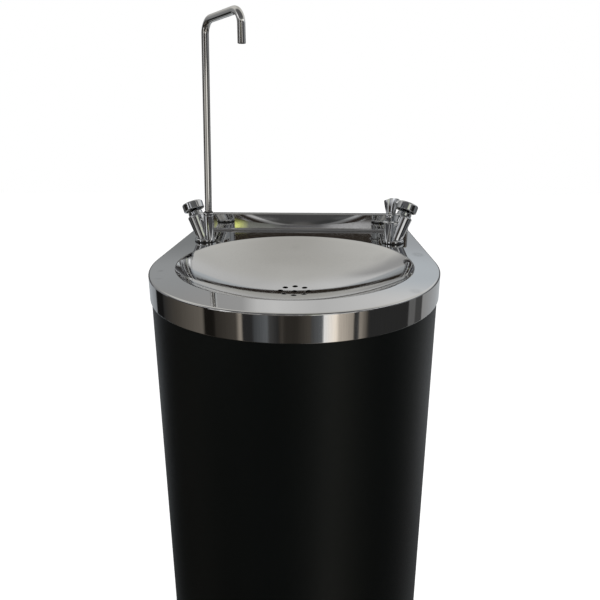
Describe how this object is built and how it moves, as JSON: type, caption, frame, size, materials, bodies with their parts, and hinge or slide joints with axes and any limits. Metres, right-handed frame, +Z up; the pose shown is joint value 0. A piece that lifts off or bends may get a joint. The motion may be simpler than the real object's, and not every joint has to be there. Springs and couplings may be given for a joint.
{
  "type": "drinking fountain",
  "caption": "Free-standing chilled drinking fountain: D-shaped black column, mirror steel basin top, swan-neck bottle filler, push-button bubbler, cooling unit inside.",
  "frame": {"origin": "on the floor, at the middle of the plan rectangle, under the feet", "axes": "+X to the right of a user facing the fountain, +Y to the rear, +Z up"},
  "size_m": [0.32, 0.35, 1.2352],
  "materials": {
    "mirror_stainless": "mirror-polished stainless steel, faint smudges",
    "black_powder_coat": "satin black powder coat, fine texture",
    "galvanised_steel": "galvanised sheet, dull",
    "zinc_steel": "bright zinc plate",
    "black_rubber": "moulded, matt",
    "white_plastic": "moulded waste fitting",
    "white_tubing": "food-grade tubing",
    "satin_stainless": "brushed",
    "tube_stainless": "polished tube with fine drawn lines",
    "copper": "drawn copper",
    "insulation_foam": "expanded foam",
    "brass": "machined",
    "black_enamel": "black enamel",
    "black_plastic": "moulded",
    "grey_plastic": "moulded",
    "red_plastic": "moulded",
    "aluminium_fin": "mill finish",
    "cable_sheath": "flexible sheath",
    "chrome": "bright chrome plate on brass",
    "spring_steel": "spring steel"
  },
  "bodies": {
    "cabinet": {"base_tray": "galvanised_steel", "bubbler_nozzle": "chrome", "bubbler_spring": "spring_steel", "bubbler_tap_body": "chrome", "capillary_tube": "copper", "cold_pipe": "white_tubing", "cold_tank": "satin_stainless", "compressor": "black_enamel", "compressor_cover": "black_plastic", "compressor_grommets": "black_rubber", "condenser": "aluminium_fin", "deck_frame": "galvanised_steel", "evaporator_coil": "copper", "fan_motor": "black_enamel", "fan_shroud": "galvanised_steel", "feet_pads": "black_rubber", "feet_studs": "zinc_steel", "filler_spring": "spring_steel", "filler_tap_body": "chrome", "filter_drier": "copper", "front_casing": "black_powder_coat", "inlet_connector": "brass", "internal_leads": "cable_sheath", "mid_shelf": "galvanised_steel", "mouth_guard": "chrome", "neck_nut": "chrome", "neck_seal": "black_rubber", "pipe_nuts": "brass", "power_inlet": "black_plastic", "rear_panel": "galvanised_steel", "rear_panel_screws": "zinc_steel", "rear_posts": "galvanised_steel", "refrigerant_pipes": "copper", "service_recess": "galvanised_steel", "suction_pipe": "copper", "supply_pipe": "white_tubing", "switch_body": "black_plastic", "tank_insulation": "insulation_foam", "tap_backnuts": "brass", "tap_bonnets": "chrome", "tap_feed_pipes": "white_tubing", "tap_gaskets": "black_rubber", "tee_fitting": "brass", "terminal_box": "grey_plastic", "thermostat": "grey_plastic", "top_deck": "mirror_stainless", "valve_seats": "black_rubber", "waste_cup": "black_plastic", "waste_cup_fixings": "zinc_steel", "waste_gasket": "black_rubber", "waste_outlet": "white_plastic", "waste_pipe": "white_plastic", "waste_ring_nuts": "white_plastic", "waste_trap": "white_plastic"},
    "filler_button": {"filler_button": "chrome"},
    "bubbler_button": {"bubbler_button": "chrome"},
    "gooseneck": {"gooseneck": "tube_stainless"},
    "fan_blade": {"fan_blade": "aluminium_fin"},
    "thermostat_knob": {"thermostat_knob": "black_plastic"},
    "switch_rocker": {"switch_rocker": "red_plastic"}
  },
  "joints": [
    {"name": "filler_press", "type": "slide", "parent": "cabinet", "child": "filler_button", "axis": [0.3538, -0.2845, -0.891], "range_m": [0, 0.004], "stiffness_N_per_m": 1200, "springref_m": -0.006, "deforming": ["filler_spring"]},
    {"name": "bubbler_press", "type": "slide", "parent": "cabinet", "child": "bubbler_button", "axis": [-0.3538, -0.2845, -0.891], "range_m": [0, 0.004], "stiffness_N_per_m": 1200, "springref_m": -0.006, "deforming": ["bubbler_spring"]},
    {"name": "neck_swivel", "type": "hinge", "parent": "cabinet", "child": "gooseneck", "pos_m": [-0.11838, 0.08537, 0.996], "axis": [0.0294, 0, 0.9996], "range_deg": [-75, 75]},
    {"name": "fan_spin", "type": "hinge", "parent": "cabinet", "child": "fan_blade", "pos_m": [0.064, 0.08, 0.128], "axis": [0, 1, 0], "continuous": true},
    {"name": "thermostat_turn", "type": "hinge", "parent": "cabinet", "child": "thermostat_knob", "pos_m": [-0.022, 0.15, 0.43], "axis": [0, 1, 0], "range_deg": [0, 270]},
    {"name": "switch_rock", "type": "hinge", "parent": "cabinet", "child": "switch_rocker", "pos_m": [-0.07, 0.139, 0.42], "axis": [1, 0, 0], "range_deg": [0, 18]}
  ]
}
